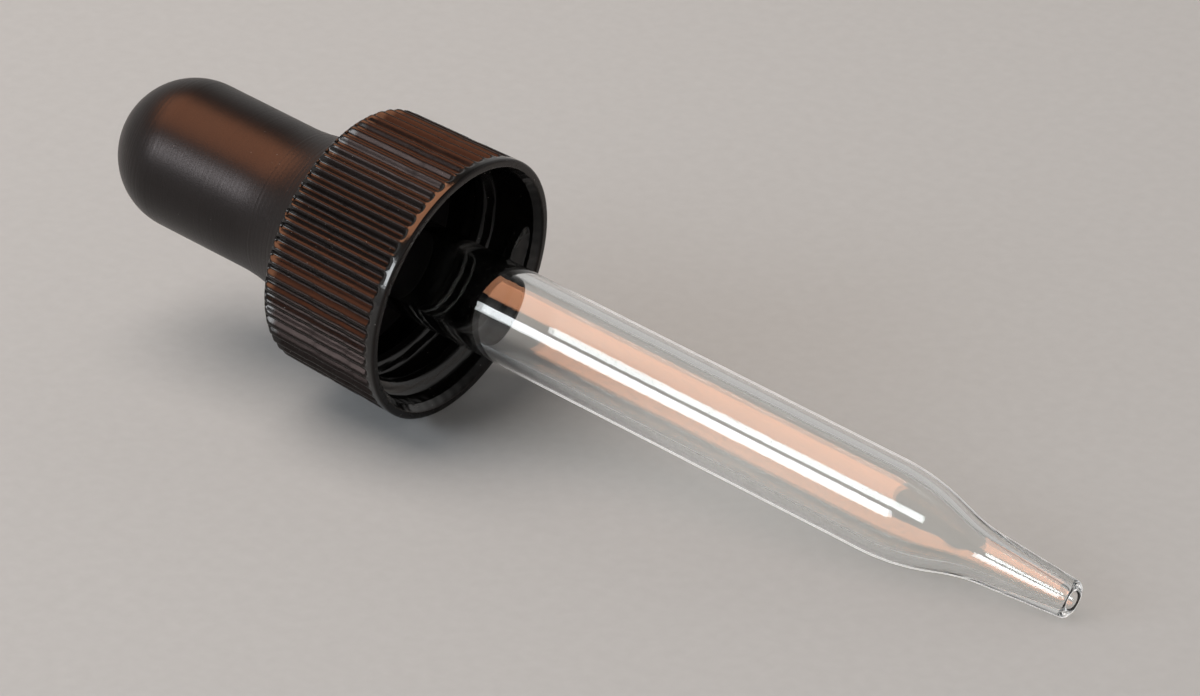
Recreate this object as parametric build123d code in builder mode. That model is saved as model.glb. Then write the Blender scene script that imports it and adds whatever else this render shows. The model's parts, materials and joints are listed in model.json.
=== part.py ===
"""A dropper for a small bottle: rubber bulb, ribbed screw cap and glass pipette.

The dropper lies on its side on a flat surface, z = 0, resting on the rim of the cap's mouth and on
the pipette's tip. Its axis is in the XZ plane and points down towards +X at the tip. Places along
the axis are measured from the cap's mouth, positive towards the tip. Millimetres throughout.
"""

from build123d import *
from math import asin, atan2, cos, hypot, pi, radians, sin, tan
import os

os.makedirs("parts", exist_ok=True)

# ---- driving dimensions -------------------------------------------------------------------

# glass pipette: a drawn tube of constant wall, with a shoulder and a slender nozzle
tube_radius = 3.5
glass_wall = 0.8
tube_top = -14.6  # the buried end, inside the bulb's neck
shoulder_start = 36.4  # where the straight tube ends
shoulder_radius = 17.6  # the convex bend of the shoulder, seen from the side
shoulder_slope = 17.2  # steepest slope of the shoulder, degrees
cone_length = 0.9  # straight stretch between the two bends
waist_radius = 13.6  # the concave bend into the nozzle
nozzle_slope = 4.3  # taper of the nozzle, degrees a side
tip_place = 52.1
fire_polish = 0.36  # rounding of the melted ends

# screw cap: an 18-400 style closure
cap_height = 10.3
top_thickness = 1.3
crest_radius_back = 9.8  # rib crests at the cap's top; they taper out to the lip
cap_shoulder = 0.55  # rounding of the cap's top edge
lip_radius = 10.08
lip_height = 0.68  # the smooth band at the mouth
lip_rounding = 0.22
mouth_rounding = 0.15
thread_root_radius = 9.05
mouth_inner_radius = 9.5
lead_in = 0.6  # length of the flare inside the mouth
ceiling_fillet = 0.4

# grip ribs: half-round ribs that meet in narrow grooves
rib_count = 56
rib_height = 0.38
rib_overshoot = 0.02  # the cutters pass the crests by this much

# inside thread: one start, right hand, eight turns to the inch
thread_pitch = 3.175
thread_crest_radius = 8.1
thread_turns = 1.7
thread_start_place = -7.0  # middle of the ridge at its inner end
thread_start_angle = 120  # about the axis, from +Y
thread_crest_width = 0.6
thread_base_width = 1.7
thread_rounding = 0.15
thread_bite = 0.15  # how far the ridge is sunk into the wall

# rubber bulb: one moulding with a dome, a flared base, a neck in the cap's hole and a flange
bulb_radius = 5.65
bulb_wall = 1.3
dome_centre = -24.61
flare_start = -16.8  # where the straight side begins to widen towards the cap
skirt_radius = 7.0
skirt_height = 0.65
neck_radius = 6.6
flange_radius = 8.0
flange_thickness = 1.65
flange_rounding = 0.2
grip_depth = 0.3  # the neck bore passes the tube's end by this much
cavity_cone = 1.3  # length of the widening above the neck bore
bore_lead = 0.4  # chamfer where the tube enters the flange

running_clearance = 0.05  # between the cap and the bulb, which turn against each other
grip_clearance = 0.03  # between the rubber and the glass, which is a tight grip in the real thing

# ---- how the dropper lies -----------------------------------------------------------------

nozzle_top = (
    shoulder_start
    + shoulder_radius * sin(radians(shoulder_slope))
    + cone_length * cos(radians(shoulder_slope))
    + waist_radius * (sin(radians(shoulder_slope)) - sin(radians(nozzle_slope)))
)
nozzle_top_radius = (
    tube_radius
    - shoulder_radius * (1 - cos(radians(shoulder_slope)))
    - cone_length * sin(radians(shoulder_slope))
    - waist_radius * (cos(radians(nozzle_slope)) - cos(radians(shoulder_slope)))
)
tip_radius = nozzle_top_radius - (tip_place - nozzle_top) * tan(radians(nozzle_slope))
skirt_slope = atan2(crest_radius_back - lip_radius, cap_height)


def rounded_rim(radius, rounding, slope):
    """Radius of the circle along which a ball of the rounding's size rolls just inside a rim."""
    return radius - rounding / cos(slope) + rounding * tan(slope)


# the dropper rests on two rounded rims, the lip's and the tip's
lip_ring = rounded_rim(lip_radius, lip_rounding, skirt_slope)
tip_ring = rounded_rim(tip_radius, fire_polish, radians(nozzle_slope))
rim_drop = lip_ring - tip_ring
rim_spacing = tip_place - fire_polish + lip_rounding
tilt = atan2(rim_drop, rim_spacing) + asin((lip_rounding - fire_polish) / hypot(rim_drop, rim_spacing))

mouth_z = lip_rounding - lip_rounding * sin(tilt) + lip_ring * cos(tilt)
front = (tip_place - fire_polish) * cos(tilt) + tip_ring * sin(tilt) + fire_polish
back = dome_centre * cos(tilt) - bulb_radius
mouth_x = -(front + back) / 2

# dropper: local z runs along the axis to the tip; profile: local x is the same axis, y the radius
dropper = Plane(origin=(mouth_x, 0, mouth_z), x_dir=(0, 1, 0), z_dir=(cos(tilt), 0, -sin(tilt)))
profile = Plane(origin=dropper.origin, x_dir=dropper.z_dir, z_dir=(0, -1, 0))
dropper_axis = Axis(dropper.origin, dropper.z_dir)

# ---- glass pipette ------------------------------------------------------------------------


def drawn_wall(radius):
    """One side of the drawn tube, from its buried end to its tip, as it leaves this radius."""
    straight = Line((tube_top, radius), (shoulder_start, radius))
    shoulder = JernArc(straight @ 1, (1, 0), shoulder_radius, -shoulder_slope)
    cone = PolarLine(shoulder @ 1, cone_length, direction=shoulder % 1)
    waist = JernArc(cone @ 1, cone % 1, waist_radius, shoulder_slope - nozzle_slope)
    nozzle = PolarLine(
        waist @ 1, tip_place - nozzle_top, direction=waist % 1, length_mode=LengthMode.HORIZONTAL
    )
    return straight, nozzle


with BuildPart() as glass_pipette:
    with BuildSketch(profile):
        with BuildLine():
            outer_top, outer_tip = drawn_wall(tube_radius)
            inner_top, inner_tip = drawn_wall(tube_radius - glass_wall)
            Line(outer_tip @ 1, inner_tip @ 1)
            Line(outer_top @ 0, inner_top @ 0)
        make_face()
    revolve(axis=dropper_axis)
    melted_ends = glass_pipette.edges().filter_by(GeomType.CIRCLE).sort_by(dropper_axis)
    fillet(melted_ends[:2] + melted_ends[-2:], fire_polish)

glass_pipette.part.label = "glass_pipette"
export_step(glass_pipette.part, "parts/glass_pipette.step")

# ---- rubber bulb --------------------------------------------------------------------------

cap_top = -cap_height
cap_ceiling = cap_top + top_thickness
flange_back = cap_ceiling + running_clearance
flange_face = flange_back + flange_thickness
skirt_face = cap_top - running_clearance
neck_bore_end = tube_top - grip_depth
grip_radius = tube_radius + grip_clearance
cavity_radius = bulb_radius - bulb_wall
flare_arc_height = skirt_radius - bulb_radius
flare_length = (skirt_face - skirt_height) - flare_start
flare_radius = (flare_length**2 + flare_arc_height**2) / (2 * flare_arc_height)

with BuildPart() as rubber_bulb:
    with BuildSketch(profile):
        with BuildLine():
            dome = JernArc((dome_centre - bulb_radius, 0), (0, 1), bulb_radius, -90)
            side = Line(dome @ 1, (flare_start, bulb_radius))
            flare = RadiusArc(side @ 1, (flare_start + flare_length, skirt_radius), -flare_radius)
            neck = Polyline(
                flare @ 1,
                (skirt_face, skirt_radius),
                (skirt_face, neck_radius),
                (flange_back, neck_radius),
                (flange_back, flange_radius),
                (flange_face, flange_radius),
                (flange_face, grip_radius + bore_lead),
                (flange_face - bore_lead, grip_radius),
                (neck_bore_end, grip_radius),
                (neck_bore_end - cavity_cone, cavity_radius),
                (dome_centre, cavity_radius),
            )
            hollow = JernArc(neck @ 1, (-1, 0), cavity_radius, 90)
            Line(hollow @ 1, dome @ 0)
        make_face()
    revolve(axis=dropper_axis)
    rims = rubber_bulb.edges().filter_by(GeomType.CIRCLE)
    flange_rims = rims.filter_by(lambda rim: abs(rim.radius - flange_radius) < running_clearance)
    skirt_rims = rims.filter_by(lambda rim: abs(rim.radius - skirt_radius) < running_clearance)
    fillet(flange_rims + skirt_rims, flange_rounding)

rubber_bulb.part.label = "rubber_bulb"
export_step(rubber_bulb.part, "parts/rubber_bulb.step")

# ---- screw cap ----------------------------------------------------------------------------

hole_radius = neck_radius + running_clearance

# one groove between two ribs: its two sides are arcs, the flanks of the ribs beside it
groove_radius = crest_radius_back - rib_height
half_pitch = pi * groove_radius / rib_count
groove_depth = rib_height + rib_overshoot
rib_radius = (half_pitch**2 + groove_depth**2) / (2 * groove_depth)
groove_slant = Vector(lip_radius - crest_radius_back, 0, cap_height)
groove_foot = Plane(origin=(groove_radius, 0, cap_top), x_dir=(0, 1, 0), z_dir=groove_slant)

with BuildPart(mode=Mode.PRIVATE) as groove:
    with BuildSketch(groove_foot):
        with BuildLine():
            left = RadiusArc((-half_pitch, -groove_depth), (0, 0), -rib_radius)
            right = RadiusArc((0, 0), (half_pitch, -groove_depth), -rib_radius)
            Polyline(
                right @ 1,
                (half_pitch, -groove_depth - cap_shoulder),
                (-half_pitch, -groove_depth - cap_shoulder),
                left @ 0,
            )
        make_face()
    extrude(amount=cap_height - lip_height)

# the thread's ridge, which climbs towards the mouth
ridge_height = thread_root_radius - thread_crest_radius
with BuildPart(mode=Mode.PRIVATE) as thread:
    with BuildLine():
        climb = Helix(
            thread_pitch,
            thread_pitch * thread_turns,
            thread_root_radius,
            center=(0, 0, thread_start_place),
        )
    with BuildSketch(Plane(origin=climb @ 0, x_dir=(1, 0, 0), z_dir=climb % 0)) as ridge:
        Polygon(
            (thread_bite, thread_base_width / 2),
            (-ridge_height, thread_crest_width / 2),
            (-ridge_height, -thread_crest_width / 2),
            (thread_bite, -thread_base_width / 2),
            align=None,
        )
        fillet(ridge.vertices().sort_by(Axis.X)[:2], thread_rounding)
    sweep(path=climb, is_frenet=True)

with BuildPart(dropper) as screw_cap:
    with BuildSketch(profile):
        with BuildLine():
            FilletPolyline(
                (cap_top, hole_radius),
                (cap_top, crest_radius_back),
                (0, lip_radius),
                (0, mouth_inner_radius),
                (-lead_in, thread_root_radius),
                (cap_ceiling, thread_root_radius),
                (cap_ceiling, hole_radius),
                radius=(0, cap_shoulder, lip_rounding, mouth_rounding, mouth_rounding, ceiling_fillet, 0),
                close=True,
            )
        make_face()
    revolve(axis=dropper_axis)
    with PolarLocations(0, rib_count):
        add(groove.part, mode=Mode.SUBTRACT)
    with PolarLocations(0, 1, start_angle=thread_start_angle):
        add(thread.part)

screw_cap.part.label = "screw_cap"
export_step(screw_cap.part, "parts/screw_cap.step")
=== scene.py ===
"""Looks for a bottle dropper: a rubber bulb, a ribbed screw cap and a glass pipette.

Each piece is turned about the dropper's own axis. Outlines hold (place, radius) points in
millimetres, where place is measured along the axis from the cap's mouth, positive towards the tip.
turned() sets them in the row frame, in metres, on the axis of the CAD joint that the cap turns on.
"""

import json
from math import asin, ceil, cos, hypot, pi, radians, sin, tan

import bmesh
import bpy
import numpy as np
from mathutils import Matrix, Vector


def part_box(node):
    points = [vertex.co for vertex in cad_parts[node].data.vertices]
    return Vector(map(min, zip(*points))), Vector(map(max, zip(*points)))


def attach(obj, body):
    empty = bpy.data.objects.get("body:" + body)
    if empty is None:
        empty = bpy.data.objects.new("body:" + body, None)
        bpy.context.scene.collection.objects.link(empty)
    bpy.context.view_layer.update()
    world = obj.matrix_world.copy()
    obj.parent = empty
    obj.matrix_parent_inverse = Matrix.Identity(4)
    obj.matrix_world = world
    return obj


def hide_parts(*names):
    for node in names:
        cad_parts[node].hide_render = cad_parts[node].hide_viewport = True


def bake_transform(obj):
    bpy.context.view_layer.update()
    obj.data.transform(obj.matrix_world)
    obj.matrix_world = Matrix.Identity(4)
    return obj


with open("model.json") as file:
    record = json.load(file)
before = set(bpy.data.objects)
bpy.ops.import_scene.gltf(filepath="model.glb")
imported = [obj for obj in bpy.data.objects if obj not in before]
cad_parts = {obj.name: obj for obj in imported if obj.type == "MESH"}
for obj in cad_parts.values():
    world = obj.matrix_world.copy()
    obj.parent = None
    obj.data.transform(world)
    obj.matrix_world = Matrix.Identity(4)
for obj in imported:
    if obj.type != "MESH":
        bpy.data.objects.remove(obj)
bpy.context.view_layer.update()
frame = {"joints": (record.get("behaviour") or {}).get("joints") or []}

# ---- the frame ------------------------------------------------------------------------------

MM = 0.001
JOINTS = {joint["name"]: joint for joint in frame["joints"]}
MOUTH = np.array(JOINTS["cap_spin"]["pos_m"])
AXIS = np.array(JOINTS["cap_spin"]["axis"])
UP = -np.array(JOINTS["bulb_squeeze"]["axis"])
SIDE = np.cross(UP, AXIS)  # angles about the axis start here and grow towards UP

# ---- glass pipette, millimetres ---------------------------------------------------------------

TUBE_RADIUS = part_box("glass_pipette")[1].y / MM
GLASS_WALL = 0.8
TUBE_TOP = -14.6
SHOULDER_START = 36.4
SHOULDER_BEND = (17.6, -17.2)  # radius, and turn in degrees
CONE_LENGTH = 0.9
WAIST_BEND = (13.6, 12.9)
TIP_PLACE = 52.1
FIRE_POLISH = 0.36  # rounding of the melted ends
TUBE_COLUMNS = 240  # mesh columns round the tube
TUBE_SPACING = 0.4  # longest stretch between two mesh rows

# ---- screw cap ----------------------------------------------------------------------------

CAP_TOP = -10.3
CAP_CEILING = -9.0
CREST_RADIUS_BACK = 9.8
CAP_SHOULDER = 0.55  # rounding of the top edge
LIP_RADIUS = 10.08
LIP_HEIGHT = 0.68
LIP_ROUNDING = 0.22
THREAD_ROOT = 9.05
MOUTH_INNER = 9.5
MOUTH_ROUNDING = 0.15
LEAD_IN = 0.6
CEILING_FILLET = 0.4
HOLE_RADIUS = 6.65
HOLE_ROUNDING = (0.15, 0.1)  # outside and inside
RIB_COUNT = 56
RIB_DEPTH = 0.48
RIB_BEND = 0.32  # share of a flank that rounds off into the crest, and into the groove
RIB_END = 0.14  # length over which a groove runs out at the lip
RIB_STEPS = 10  # mesh columns to one rib
CAP_SPACING = 0.17
OUTSIDE_SHARE = 0.55  # of the way from the thread's root to the lip, where the outside begins
THREAD_PITCH = 3.175
THREAD_HEIGHT = 0.95
THREAD_TURNS = 1.7
THREAD_START = -7.0
THREAD_ANGLE = radians(120)
THREAD_CREST = 0.6
THREAD_BASE = 1.7
THREAD_RUN_OUT = 0.045  # of a turn, at each end
SINK_DEPTH = 0.03  # where the wall draws in over the thread
TICK_DEPTH = 0.02  # the ribs telegraph through the thin wall at the mouth
TICK_REACH = 3 * LEAD_IN

# ---- rubber bulb ----------------------------------------------------------------------------

BULB_RADIUS = 5.65
BULB_WALL = 1.3
DOME_CENTRE = -24.61
DOME_STEPS = 40
FLARE_START = -16.8
SKIRT_FACE = -10.35
SKIRT_HEIGHT = 0.65
SKIRT_RADIUS = 7.0
NECK_RADIUS = 6.6
NECK_ROUNDING = 0.05
FLANGE_BACK = -8.95
FLANGE_FACE = -7.3
FLANGE_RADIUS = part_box("rubber_bulb")[1].y / MM
SOFT_RIM = 0.2  # rounding of the skirt's and the flange's rims
BORE_RADIUS = 3.53
BORE_LEAD = 0.4
BORE_ROUNDING = 0.08
BORE_END = -14.9
CAVITY_START = -16.2
CAVITY_STEPS = 24
BULB_COLUMNS = 144
BULB_SPACING = 0.11
RING_DEPTH = 0.0016  # of the mould's turned rings
RING_DEPTH_ADDED = 0.0042  # next to the cap
RING_GROWTH = 3.0  # length over which the rings deepen from the start of the flare
RING_WAVES = ((1.0, 14.3, 0.0), (0.6, 23.7, 1.0), (0.4, 37.1, 2.0))  # share, rate and phase

# ---- meshes -----------------------------------------------------------------------------------

SLIGHT_TURN = radians(1)  # corners as flat as this are not rounded
ROUGHLY_ZERO = 1e-6
WELD_DISTANCE = 1e-7  # metres


# ---- outlines -------------------------------------------------------------------------------


def turn_left(heading):
    return np.array((-heading[1], heading[0]))


def swung(vector, angle):
    """The (place, radius) vector turned by this angle."""
    c, s = cos(angle), sin(angle)
    return np.array((c * vector[0] - s * vector[1], s * vector[0] + c * vector[1]))


def bend(start, heading, radius, turn, steps=16):
    """Points of a tangent arc that leaves start along heading, and its last heading."""
    side = np.sign(turn)
    inward = side * turn_left(heading)
    centre = start + inward * radius
    angles = radians(turn) * np.arange(1, steps + 1) / steps
    return [centre - swung(inward, angle) * radius for angle in angles], swung(heading, angles[-1])


def rounded(corners, steps=6):
    """The line through (place, radius, rounding) corners, with each inner corner rounded off."""
    points = [np.array(corner[:2], float) for corner in corners]
    path = [points[0]]
    for k in range(1, len(points) - 1):
        into = points[k] - points[k - 1]
        away = points[k + 1] - points[k]
        into, away = into / hypot(*into), away / hypot(*away)
        cross = into[0] * away[1] - into[1] * away[0]
        turn = abs(np.arctan2(cross, into @ away))
        rounding = corners[k][2]
        if rounding == 0 or turn < SLIGHT_TURN:
            path.append(points[k])
            continue
        side = np.sign(cross)
        start = points[k] - into * rounding * tan(turn / 2)
        inward = side * turn_left(into)
        centre = start + inward * rounding
        path += [centre - swung(inward, side * turn * i / steps) * rounding for i in range(steps + 1)]
    return path + [points[-1]]


def sharp(points):
    """The points as corners that are not rounded."""
    return [(*point, 0) for point in points]


def spaced(path, longest):
    """The path with points added, so that no run is longer than this."""
    points = [path[0]]
    for a, b in zip(path, path[1:]):
        count = max(1, ceil(hypot(*(b - a)) / longest))
        points += [a + (b - a) * k / count for k in range(1, count + 1)]
    return np.array(points)


def smooth(x):
    """0 below 0, 1 above 1, and a smooth step between."""
    x = np.clip(x, 0, 1)
    return x * x * (3 - 2 * x)


def turned(name, path, columns, shape=None):
    """A closed mesh turned about the dropper's axis, which shape(place, radius, angle) may refine."""
    angles = np.linspace(0, 2 * pi, columns, endpoint=False)
    place, angle = np.meshgrid(path[:, 0], angles, indexing="ij")
    radius = np.repeat(path[:, 1:], columns, axis=1)
    if shape is not None:
        radius = shape(place, radius, angle)
    across = np.cos(angle)[..., None] * SIDE + np.sin(angle)[..., None] * UP
    points = MOUTH + MM * (place[..., None] * AXIS + radius[..., None] * across)
    index = np.arange(place.size).reshape(place.shape)
    beside = np.roll(index, -1, axis=1)
    faces = np.stack([index[:-1], index[1:], beside[1:], beside[:-1]], -1).reshape(-1, 4)
    mesh = bpy.data.meshes.new(name)
    mesh.from_pydata(points.reshape(-1, 3).tolist(), [], faces.tolist())
    tidy = bmesh.new()
    tidy.from_mesh(mesh)
    bmesh.ops.remove_doubles(tidy, verts=tidy.verts, dist=WELD_DISTANCE)
    bmesh.ops.recalc_face_normals(tidy, faces=tidy.faces)
    tidy.to_mesh(mesh)
    tidy.free()
    mesh.shade_smooth()
    piece = bpy.data.objects.new(name, mesh)
    bpy.context.scene.collection.objects.link(piece)
    return piece


# ---- pieces ---------------------------------------------------------------------------------


def wall_line(radius):
    """One side of the drawn tube from its shoulder to its tip, for this radius of the straight tube."""
    path = [np.array((SHOULDER_START, radius))]
    arc, heading = bend(path[-1], np.array((1.0, 0.0)), *SHOULDER_BEND)
    path += arc
    path.append(path[-1] + heading * CONE_LENGTH)
    arc, heading = bend(path[-1], heading, *WAIST_BEND)
    path += arc
    left = TIP_PLACE - path[-1][0]
    path.append(path[-1] + heading * left / heading[0])
    return path


def glass_pipette():
    outer, inner = wall_line(TUBE_RADIUS), wall_line(TUBE_RADIUS - GLASS_WALL)
    middle = (TUBE_TOP, TUBE_RADIUS - GLASS_WALL / 2, 0)
    corners = [
        middle,
        (TUBE_TOP, TUBE_RADIUS, FIRE_POLISH),
        *sharp(outer[:-1]),
        (*outer[-1], FIRE_POLISH),
        (*inner[-1], FIRE_POLISH),
        *sharp(reversed(inner[:-1])),
        (TUBE_TOP, TUBE_RADIUS - GLASS_WALL, FIRE_POLISH),
        middle,
    ]
    return turned("glass_tube", spaced(rounded(corners, steps=8), TUBE_SPACING), TUBE_COLUMNS)


def bulb_arc(radius, start, end, steps):
    """Points of an arc about the dome's centre, from one angle off the axis to another."""
    return [
        np.array((DOME_CENTRE - radius * cos(t), radius * sin(t))) for t in np.linspace(start, end, steps)
    ]


def bulb_flare():
    """The concave arc from the bulb's straight side out to its skirt."""
    length = SKIRT_FACE - SKIRT_HEIGHT - FLARE_START
    height = SKIRT_RADIUS - BULB_RADIUS
    radius = (length**2 + height**2) / (2 * height)
    start = np.array((FLARE_START, BULB_RADIUS))
    return bend(start, np.array((1.0, 0.0)), radius, np.degrees(asin(length / radius)))[0]


def mould_rings(place, radius, angle):
    """Low turned rings left by the mould, strongest on the flare next to the cap."""
    outside = (radius > BULB_RADIUS / 2) & (place < SKIRT_FACE - SKIRT_HEIGHT / 2)
    outside &= radius > BULB_RADIUS - BULB_WALL / 2
    depth = RING_DEPTH + RING_DEPTH_ADDED * smooth((place - FLARE_START) / RING_GROWTH)
    waves = sum(share * np.sin(place * rate + phase) for share, rate, phase in RING_WAVES)
    highest = sum(share for share, rate, phase in RING_WAVES)
    return radius + np.where(outside, depth * (waves - highest) / 2, 0)


def rubber_bulb():
    cavity = BULB_RADIUS - BULB_WALL
    corners = [
        *sharp(bulb_arc(BULB_RADIUS, 0, pi / 2, DOME_STEPS)),
        (FLARE_START, BULB_RADIUS, 0),
        *sharp(bulb_flare()),
        (SKIRT_FACE, SKIRT_RADIUS, SOFT_RIM),
        (SKIRT_FACE, NECK_RADIUS, NECK_ROUNDING),
        (FLANGE_BACK, NECK_RADIUS, NECK_ROUNDING),
        (FLANGE_BACK, FLANGE_RADIUS, SOFT_RIM),
        (FLANGE_FACE, FLANGE_RADIUS, SOFT_RIM),
        (FLANGE_FACE, BORE_RADIUS + BORE_LEAD, BORE_ROUNDING),
        (FLANGE_FACE - BORE_LEAD, BORE_RADIUS, 0),
        (BORE_END, BORE_RADIUS, 0),
        (CAVITY_START, cavity, 0),
        *sharp(bulb_arc(cavity, pi / 2, 0, CAVITY_STEPS)),
    ]
    return turned("squeeze_bulb", spaced(rounded(corners), BULB_SPACING), BULB_COLUMNS, mould_rings)


def thread_ridge(place, angle):
    """How far the inside thread stands out here, from 0 at its root to 1 on its crest."""
    share = ((angle - THREAD_ANGLE) / (2 * pi)) % 1
    ridge = np.zeros_like(place)
    for k in range(ceil(THREAD_TURNS)):
        along = share + k
        run_out = smooth(along / THREAD_RUN_OUT) * smooth((THREAD_TURNS - along) / THREAD_RUN_OUT)
        off = np.abs(place - THREAD_START - THREAD_PITCH * along)
        flank = smooth((THREAD_BASE / 2 - off) / ((THREAD_BASE - THREAD_CREST) / 2))
        ridge = np.maximum(ridge, flank * run_out)
    return ridge


def rib_flank(across):
    """Depth of a flank, from 0 on the crest (across = 0) to 1 in the groove (across = 1)."""
    low = np.minimum(across, 1 - across)
    bent = np.minimum(low, RIB_BEND) ** 2 / (2 * RIB_BEND) + np.maximum(low - RIB_BEND, 0)
    depth = bent / (1 - RIB_BEND)
    return np.where(across < 1 / 2, depth, 1 - depth)


def cap_relief(place, radius, angle):
    """Grooves between the ribs outside, and the thread inside."""
    groove = rib_flank(np.abs(2 * ((angle * RIB_COUNT / (2 * pi)) % 1) - 1))
    crest = LIP_RADIUS + (CREST_RADIUS_BACK - LIP_RADIUS) * place / CAP_TOP
    run_out = smooth((-LIP_HEIGHT - place) / RIB_END)
    ridge = thread_ridge(place, angle)
    groove_line = crest - RIB_DEPTH * groove * run_out - SINK_DEPTH * ridge
    outside = radius > THREAD_ROOT + (LIP_RADIUS - THREAD_ROOT) * OUTSIDE_SHARE
    inside = (np.abs(radius - THREAD_ROOT) < ROUGHLY_ZERO) & (place < -LEAD_IN) & (place > CAP_CEILING)
    near_mouth = (radius > THREAD_ROOT - ROUGHLY_ZERO) & ~outside & (place > -TICK_REACH)
    ticks = TICK_DEPTH * groove * smooth((place + TICK_REACH) / LEAD_IN) * smooth(-place / RIB_END)
    radius = np.where(outside, np.minimum(radius, groove_line), radius)
    radius = np.where(inside, radius - THREAD_HEIGHT * ridge, radius)
    return np.where(near_mouth, radius + ticks, radius)


def screw_cap():
    middle = ((CAP_TOP + CAP_CEILING) / 2, HOLE_RADIUS, 0)
    corners = [
        middle,
        (CAP_TOP, HOLE_RADIUS, HOLE_ROUNDING[0]),
        (CAP_TOP, CREST_RADIUS_BACK, CAP_SHOULDER),
        (0, LIP_RADIUS, LIP_ROUNDING),
        (0, MOUTH_INNER, MOUTH_ROUNDING),
        (-LEAD_IN, THREAD_ROOT, MOUTH_ROUNDING),
        (CAP_CEILING, THREAD_ROOT, CEILING_FILLET),
        (CAP_CEILING, HOLE_RADIUS, HOLE_ROUNDING[1]),
        middle,
    ]
    return turned("ribbed_cap", spaced(rounded(corners), CAP_SPACING), RIB_COUNT * RIB_STEPS, cap_relief)


# ---- shader nodes ---------------------------------------------------------------------------


def set_or_link(tree, socket, value):
    if isinstance(value, bpy.types.NodeSocket):
        tree.links.new(value, socket)
    else:
        socket.default_value = value


def add(tree, kind, inputs=None, **settings):
    """A shader node with its settings, and its inputs by name or number, set or linked."""
    made = tree.nodes.new("ShaderNode" + kind)
    for name, value in settings.items():
        setattr(made, name, value)
    for name, value in (inputs or {}).items():
        set_or_link(tree, made.inputs[name], value)
    return made


def fresh_material(name):
    material = bpy.data.materials.new(name)
    material.use_nodes = True
    material.node_tree.nodes.clear()
    return material, material.node_tree


def coordinates(tree):
    """Sockets for the point from the mouth's centre in millimetres, and its place along the axis."""
    spot = add(tree, "TexCoord").outputs["Object"]
    off = add(tree, "VectorMath", {0: spot, 1: MOUTH}, operation="SUBTRACT").outputs[0]
    point = add(tree, "VectorMath", {0: off, "Scale": 1 / MM}, operation="SCALE").outputs[0]
    place = add(tree, "VectorMath", {0: point, 1: AXIS}, operation="DOT_PRODUCT").outputs["Value"]
    return point, place


def combined(tree, operation, a, b):
    return add(tree, "Math", {0: a, 1: b}, operation=operation).outputs[0]


def drawn_in(tree, point, place, share):
    """The point with this share of its place along the axis taken away."""
    length = combined(tree, "MULTIPLY", place, share)
    along = add(tree, "VectorMath", {0: AXIS, "Scale": length}, operation="SCALE").outputs[0]
    return add(tree, "VectorMath", {0: point, 1: along}, operation="SUBTRACT").outputs[0]


def noise(tree, vector, scale, detail):
    return add(tree, "TexNoise", {"Vector": vector, "Scale": scale, "Detail": detail}).outputs[0]


def ringed_noise(tree, place, scale, detail):
    """Noise that changes only along the axis, as turning marks do."""
    made = add(tree, "TexNoise", noise_dimensions="1D")
    for name, value in (("W", place), ("Scale", scale), ("Detail", detail)):
        set_or_link(tree, made.inputs[name], value)
    return made.outputs[0]


def ranged(tree, value, span, onto):
    """The value, as it goes through span, turned smoothly into one that goes through onto."""
    made = add(tree, "MapRange", {0: value, 1: span[0], 2: span[1], 3: onto[0], 4: onto[1]})
    made.interpolation_type = "SMOOTHSTEP"
    return made.outputs[0]


def dust(tree, point, scale, size):
    """1 on sparse specks of dust, 0 elsewhere."""
    cells = add(tree, "TexVoronoi", {"Vector": point, "Scale": scale, "Randomness": 1.0})
    return ranged(tree, cells.outputs["Distance"], (size / 2, size), (1.0, 0.0))


def blended(tree, factor, a, b):
    """Colour a where factor is 0 and b where it is 1."""
    made = add(tree, "Mix", data_type="RGBA")
    for number, value in ((0, factor), (6, a), (7, b)):
        set_or_link(tree, made.inputs[number], value)
    return made.outputs[2]


def bumped(tree, height, distance, strength, under=None):
    """The normal over this height, in metres, on top of another bumped normal if there is one."""
    inputs = {"Height": height, "Distance": distance, "Strength": strength}
    if under is not None:
        inputs["Normal"] = under
    return add(tree, "Bump", inputs).outputs[0]


def show(tree, shader):
    add(tree, "OutputMaterial", {"Surface": shader.outputs[0]})


# ---- materials: colours are linear red, green, blue and 1 ----------------------------------------

NOISE_SPAN = (0.3, 0.7)  # holds most of a noise's values

RUBBER_TONES = (0.0055, 0.005, 0.005, 1), (0.0095, 0.0085, 0.008, 1)
RUBBER_DUST = (0.14, 0.13, 0.12, 1)
RUBBER_TINT = (1.0, 0.88, 0.88, 1)  # of the gloss
RUBBER_ROUGHNESS = (0.3, 0.37)
RING_ROUGHNESS = 0.05  # added on the turned rings
RUBBER_IOR = 1.36

PLASTIC_TONES = (0.004, 0.0036, 0.0034, 1), (0.008, 0.0072, 0.0066, 1)
PLASTIC_DUST = (0.3, 0.28, 0.26, 1)
PLASTIC_TINTS = (0.28, 0.2, 0.185, 1), (1.0, 1.0, 1.0, 1)  # of the gloss: on the ribs, and polished
PLASTIC_ROUGHNESS = (0.24, 0.3)
POLISHED_SHARE = 0.5  # of the roughness, where the plastic is polished
LIP_FACE_POLISH = 0.15
SHOULDER_POLISH = 0.6
POLISH_FADE = 0.2  # depth over which the inside's polish fades
PLASTIC_IOR = 1.52

GLASS_TINT = (0.985, 0.995, 0.99, 1)
GLASS_SHADOW = (0.94, 0.95, 0.95, 1)
GLASS_ROUGHNESS = (0.0, 0.035)
SMEAR_SPAN = (0.45, 0.8)  # values of the noise over which the glass is smeared
GLASS_IOR = 1.5
DRAW_STRETCH = 0.98  # share of the length taken out of the draw lines' noise
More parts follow.
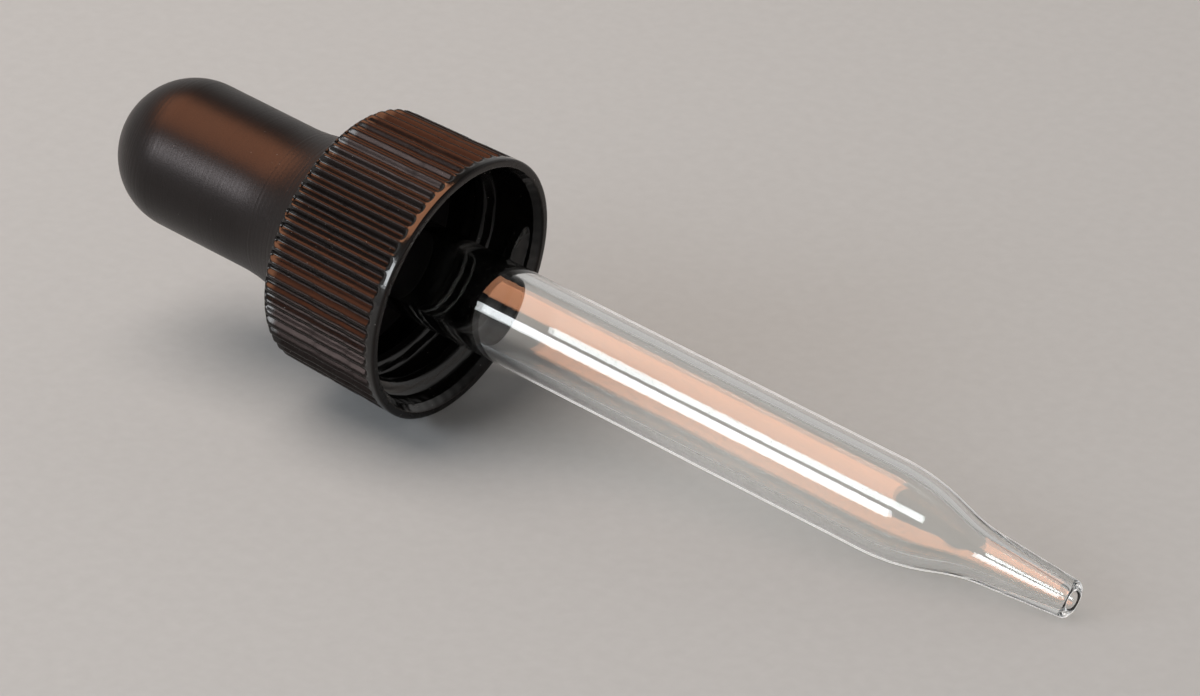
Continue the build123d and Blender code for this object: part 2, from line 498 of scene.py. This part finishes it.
# Painted rim highlight: a pale coat, partly dust, lit from in front and behind, mixed in where the glass is
# seen edge-on.
PAINTED_RIM_COLOUR = (0.97, 0.97, 0.98, 1)
PAINTED_RIM_FACING = (0.66, 0.85)  # how far edge-on the glass is seen where the painted rim highlight fades in
PAINTED_RIM_COVER = (0.0, 0.95)
PAINTED_RIM_PLACES = (5.0, 11.0)  # the painted rim highlight fades in along the tube: painted shade near the cap, where the cap hides the lamps

PAPER_TONES = (0.58, 0.575, 0.57, 1), (0.64, 0.635, 0.63, 1)
PAPER_ROUGHNESS = 0.9


def satin_rubber():
    """Satin moulded rubber: turned rings, a fine grain, and a little dust."""
    material, tree = fresh_material("satin_rubber")
    point, place = coordinates(tree)
    cloud = noise(tree, point, scale=0.6, detail=3.0)
    grain = noise(tree, point, scale=9.0, detail=3.0)
    rings = ringed_noise(tree, place, scale=4.5, detail=4.0)
    specks = dust(tree, point, scale=1.1, size=0.055)
    rough = ranged(tree, grain, NOISE_SPAN, RUBBER_ROUGHNESS)
    rough = combined(tree, "ADD", rough, combined(tree, "MULTIPLY", rings, RING_ROUGHNESS))
    normal = bumped(tree, rings, distance=0.02 * MM, strength=0.55)
    normal = bumped(tree, grain, distance=0.012 * MM, strength=0.6, under=normal)
    inputs = {
        "Base Color": blended(tree, specks, blended(tree, cloud, *RUBBER_TONES), RUBBER_DUST),
        "Roughness": rough,
        "Normal": normal,
        "IOR": RUBBER_IOR,
        "Specular Tint": RUBBER_TINT,
    }
    show(tree, add(tree, "BsdfPrincipled", inputs))
    return material


def cap_polish(tree, point, place):
    """1 where the cap is polished: on the lip, less on its face and the shoulder, and inside."""
    lip = ranged(tree, place, (-LIP_HEIGHT - RIB_END, -LIP_HEIGHT), (0.0, 1.0))
    face = ranged(tree, place, (-LIP_ROUNDING, 0.0), (1.0, LIP_FACE_POLISH))
    shoulder = ranged(tree, place, (CAP_TOP + CAP_SHOULDER, CAP_TOP + CAP_SHOULDER * 2), (1.0, 0.0))
    across = drawn_in(tree, point, place, 1.0)
    radius = add(tree, "VectorMath", {0: across}, operation="LENGTH").outputs["Value"]
    inside = ranged(tree, radius, (THREAD_ROOT, THREAD_ROOT + POLISH_FADE), (1.0, 0.0))
    lip = combined(tree, "MULTIPLY", lip, face)
    polish = combined(tree, "MAXIMUM", lip, combined(tree, "MULTIPLY", shoulder, SHOULDER_POLISH))
    return combined(tree, "MAXIMUM", polish, inside)


def moulded_plastic():
    """Glossy moulded plastic, smoothest on the lip, with flow marks and a little dust."""
    material, tree = fresh_material("moulded_plastic")
    point, place = coordinates(tree)
    flow = noise(tree, point, scale=0.9, detail=3.0)
    grain = noise(tree, point, scale=7.0, detail=2.0)
    specks = dust(tree, point, scale=1.3, size=0.05)
    polish = cap_polish(tree, point, place)
    rough = ranged(tree, flow, NOISE_SPAN, PLASTIC_ROUGHNESS)
    rough = combined(tree, "MULTIPLY", rough, ranged(tree, polish, (0.0, 1.0), (1.0, POLISHED_SHARE)))
    inputs = {
        "Base Color": blended(tree, specks, blended(tree, flow, *PLASTIC_TONES), PLASTIC_DUST),
        "Roughness": rough,
        "Normal": bumped(tree, grain, distance=0.008 * MM, strength=0.5),
        "IOR": PLASTIC_IOR,
        "Specular Tint": blended(tree, polish, *PLASTIC_TINTS),
    }
    show(tree, add(tree, "BsdfPrincipled", inputs))
    return material


def drawn_glass():
    """Clear drawn glass with faint draw lines and a painted rim highlight, partly dust. Shadow rays pass, so
    its shadow is light.
    """
    material, tree = fresh_material("drawn_glass")
    point, place = coordinates(tree)
    draw_lines = noise(tree, drawn_in(tree, point, place, DRAW_STRETCH), scale=1.6, detail=2.0)
    smear = noise(tree, point, scale=0.35, detail=3.0)
    inputs = {
        "Base Color": GLASS_TINT,
        "Roughness": ranged(tree, smear, SMEAR_SPAN, GLASS_ROUGHNESS),
        "Normal": bumped(tree, draw_lines, distance=0.003 * MM, strength=0.2),
        "IOR": GLASS_IOR,
        "Transmission Weight": 1.0,
    }
    glass = add(tree, "BsdfPrincipled", inputs)
    # Painted rim highlight: a pale coat lit from both sides, mixed in where the glass is seen edge-on, kept
    # off the tube near the cap as painted shade.
    lit_in_front = add(tree, "BsdfDiffuse", {"Color": PAINTED_RIM_COLOUR})
    lit_behind = add(tree, "BsdfTranslucent", {"Color": PAINTED_RIM_COLOUR})
    rim = add(tree, "AddShader", {0: lit_in_front.outputs[0], 1: lit_behind.outputs[0]})
    edge_on = add(tree, "LayerWeight", {"Blend": 0.5}).outputs["Facing"]
    painted_rim_cover = ranged(tree, edge_on, PAINTED_RIM_FACING, PAINTED_RIM_COVER)
    painted_rim_cover = combined(tree, "MULTIPLY", painted_rim_cover, ranged(tree, place, PAINTED_RIM_PLACES, (0.0, 1.0)))
    glass = add(tree, "MixShader", {0: painted_rim_cover, 1: glass.outputs[0], 2: rim.outputs[0]})
    clear = add(tree, "BsdfTransparent", {"Color": GLASS_SHADOW})
    shadow_ray = add(tree, "LightPath").outputs["Is Shadow Ray"]
    show(tree, add(tree, "MixShader", {0: shadow_ray, 1: glass.outputs[0], 2: clear.outputs[0]}))
    return material


def pale_paper():
    """The floor: plain pale matt paper."""
    material, tree = fresh_material("pale_paper")
    spot = add(tree, "TexCoord").outputs["Object"]
    fibre = noise(tree, spot, scale=900.0, detail=4.0)
    inputs = {
        "Base Color": blended(tree, fibre, *PAPER_TONES),
        "Roughness": PAPER_ROUGHNESS,
        "Normal": bumped(tree, fibre, distance=0.05 * MM, strength=0.4),
    }
    show(tree, add(tree, "BsdfPrincipled", inputs))
    return material


# ---- floor, light and camera ------------------------------------------------------------------

FLOOR_HALF = 4.0  # metres

# Softboxes, in metres and degrees, with azimuth from +X towards +Y.
WINDOW_ELEVATION = 24
WINDOW_DISTANCE = 0.6
WINDOW_MIRRORED = (-109.5, 0.315, 0.19)  # azimuth, width and height
WINDOW = (-128, 0.46, 0.19)
OVERHEAD_PLACE = (-0.25, -0.075, 0.5)
OVERHEAD_SIZE = (0.5, 0.5)
FACING_DOWN = (1, 0, 0, 0)

# The room darkens from its horizon to its ceiling; heights are those of a direction of length 1.
ROOM_HEIGHTS = (0.35, 0.8)
ROOM_LEVELS = (0.52, 0.06)
ROOM_COLOUR = (1.0, 0.975, 0.95, 1)

# The camera, from where the dropper is seen: distances in millimetres, angles in degrees.
VIEW_AZIMUTH = 36.2
VIEW_ELEVATION = 26.0
VIEW_DISTANCE = 430.6
VIEW_RIGHT = 9.8  # of the mouth's centre, where the camera aims
VIEW_UP = -4.08
LENS = 182.3
SENSOR_WIDTH = 36.0
CLIP_START = 0.01  # metres


def lay_floor():
    mesh = bpy.data.meshes.new("floor")
    signs = ((-1, -1), (1, -1), (1, 1), (-1, 1))
    mesh.from_pydata([(x * FLOOR_HALF, y * FLOOR_HALF, 0) for x, y in signs], [], [(0, 1, 2, 3)])
    mesh.materials.append(pale_paper())
    floor = bpy.data.objects.new("floor", mesh)
    bpy.context.scene.collection.objects.link(floor)


def panel_light(name, centre, size, radiance, colour, seen):
    """A rectangular softbox that faces the dropper, seen by its mirror surfaces or its matt ones."""
    light = bpy.data.lights.new(name, "AREA")
    light.shape = "RECTANGLE"
    light.size, light.size_y = size
    light.energy = radiance * pi * size[0] * size[1]
    light.color = colour
    lamp = bpy.data.objects.new(name, light)
    lamp.location = centre
    lamp.rotation_mode = "QUATERNION"
    lamp.rotation_quaternion = (-Vector(centre)).to_track_quat("-Z", "Y")
    lamp.visible_camera = False
    lamp.visible_diffuse = seen == "matt"
    lamp.visible_glossy = lamp.visible_transmission = seen == "mirror"
    bpy.context.scene.collection.objects.link(lamp)
    return lamp


def window_light(name, place, radiance, colour, seen):
    """A softbox beside the camera."""
    azimuth, *size = place
    a, e = radians(azimuth), radians(WINDOW_ELEVATION)
    centre = (WINDOW_DISTANCE * cos(e) * cos(a), WINDOW_DISTANCE * cos(e) * sin(a), WINDOW_DISTANCE * sin(e))
    return panel_light(name, centre, size, radiance, colour, seen)


def overhead_light(name, radiance, colour, seen):
    lamp = panel_light(name, OVERHEAD_PLACE, OVERHEAD_SIZE, radiance, colour, seen)
    lamp.rotation_quaternion = FACING_DOWN
    return lamp


def light_room():
    """The window and the ceiling light, each as one softbox to mirror and one to light matt surfaces."""
    window_light("window_mirrored", WINDOW_MIRRORED, radiance=11.0, colour=(0.93, 0.97, 1.0), seen="mirror")
    window_light("window", WINDOW, radiance=4.0, colour=(0.8, 0.9, 1.0), seen="matt")
    overhead_light("overhead_mirrored", radiance=4.7, colour=(1.0, 0.44, 0.23), seen="mirror")
    overhead_light("overhead", radiance=3.6, colour=(1.0, 0.93, 0.86), seen="matt")


def light_backdrop():
    world = bpy.data.worlds.new("room")
    world.use_nodes = True
    tree = world.node_tree
    way = add(tree, "TexCoord").outputs["Generated"]
    height = add(tree, "SeparateXYZ", {0: way}).outputs[2]
    backdrop = tree.nodes["Background"]
    set_or_link(tree, backdrop.inputs["Color"], ROOM_COLOUR)
    set_or_link(tree, backdrop.inputs["Strength"], ranged(tree, height, ROOM_HEIGHTS, ROOM_LEVELS))
    bpy.context.scene.world = world


def place_camera():
    a, e = radians(VIEW_AZIMUTH), radians(VIEW_ELEVATION)
    right = Vector((cos(a), sin(a), 0))
    forward = Vector((-sin(a) * cos(e), cos(a) * cos(e), -sin(e)))
    up = right.cross(forward)
    aim = Vector(MOUTH) + MM * (VIEW_RIGHT * right + VIEW_UP * up)
    lens = bpy.data.cameras.new("camera")
    lens.lens = LENS
    lens.sensor_width = SENSOR_WIDTH
    lens.clip_start = CLIP_START
    camera = bpy.data.objects.new("camera", lens)
    turn = Matrix((right, up, -forward)).transposed().to_4x4()
    camera.matrix_world = Matrix.Translation(aim - forward * VIEW_DISTANCE * MM) @ turn
    bpy.context.scene.collection.objects.link(camera)
    bpy.context.scene.camera = camera


def finished(piece, node, material):
    """The piece with its material, standing for its CAD node."""
    piece.data.materials.append(material)
    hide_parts(node)
    return piece


# ---- the dropper ----------------------------------------------------------------------------

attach(finished(glass_pipette(), "glass_pipette", drawn_glass()), "pipette")
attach(finished(screw_cap(), "screw_cap", moulded_plastic()), "cap")

bulb = finished(rubber_bulb(), "rubber_bulb", satin_rubber())
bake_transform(bulb)

lay_floor()
light_room()
light_backdrop()
place_camera()
bpy.context.scene.view_settings.view_transform = "Standard"
bpy.context.scene.cycles.caustics_reflective = False
bpy.context.scene.cycles.caustics_refractive = False
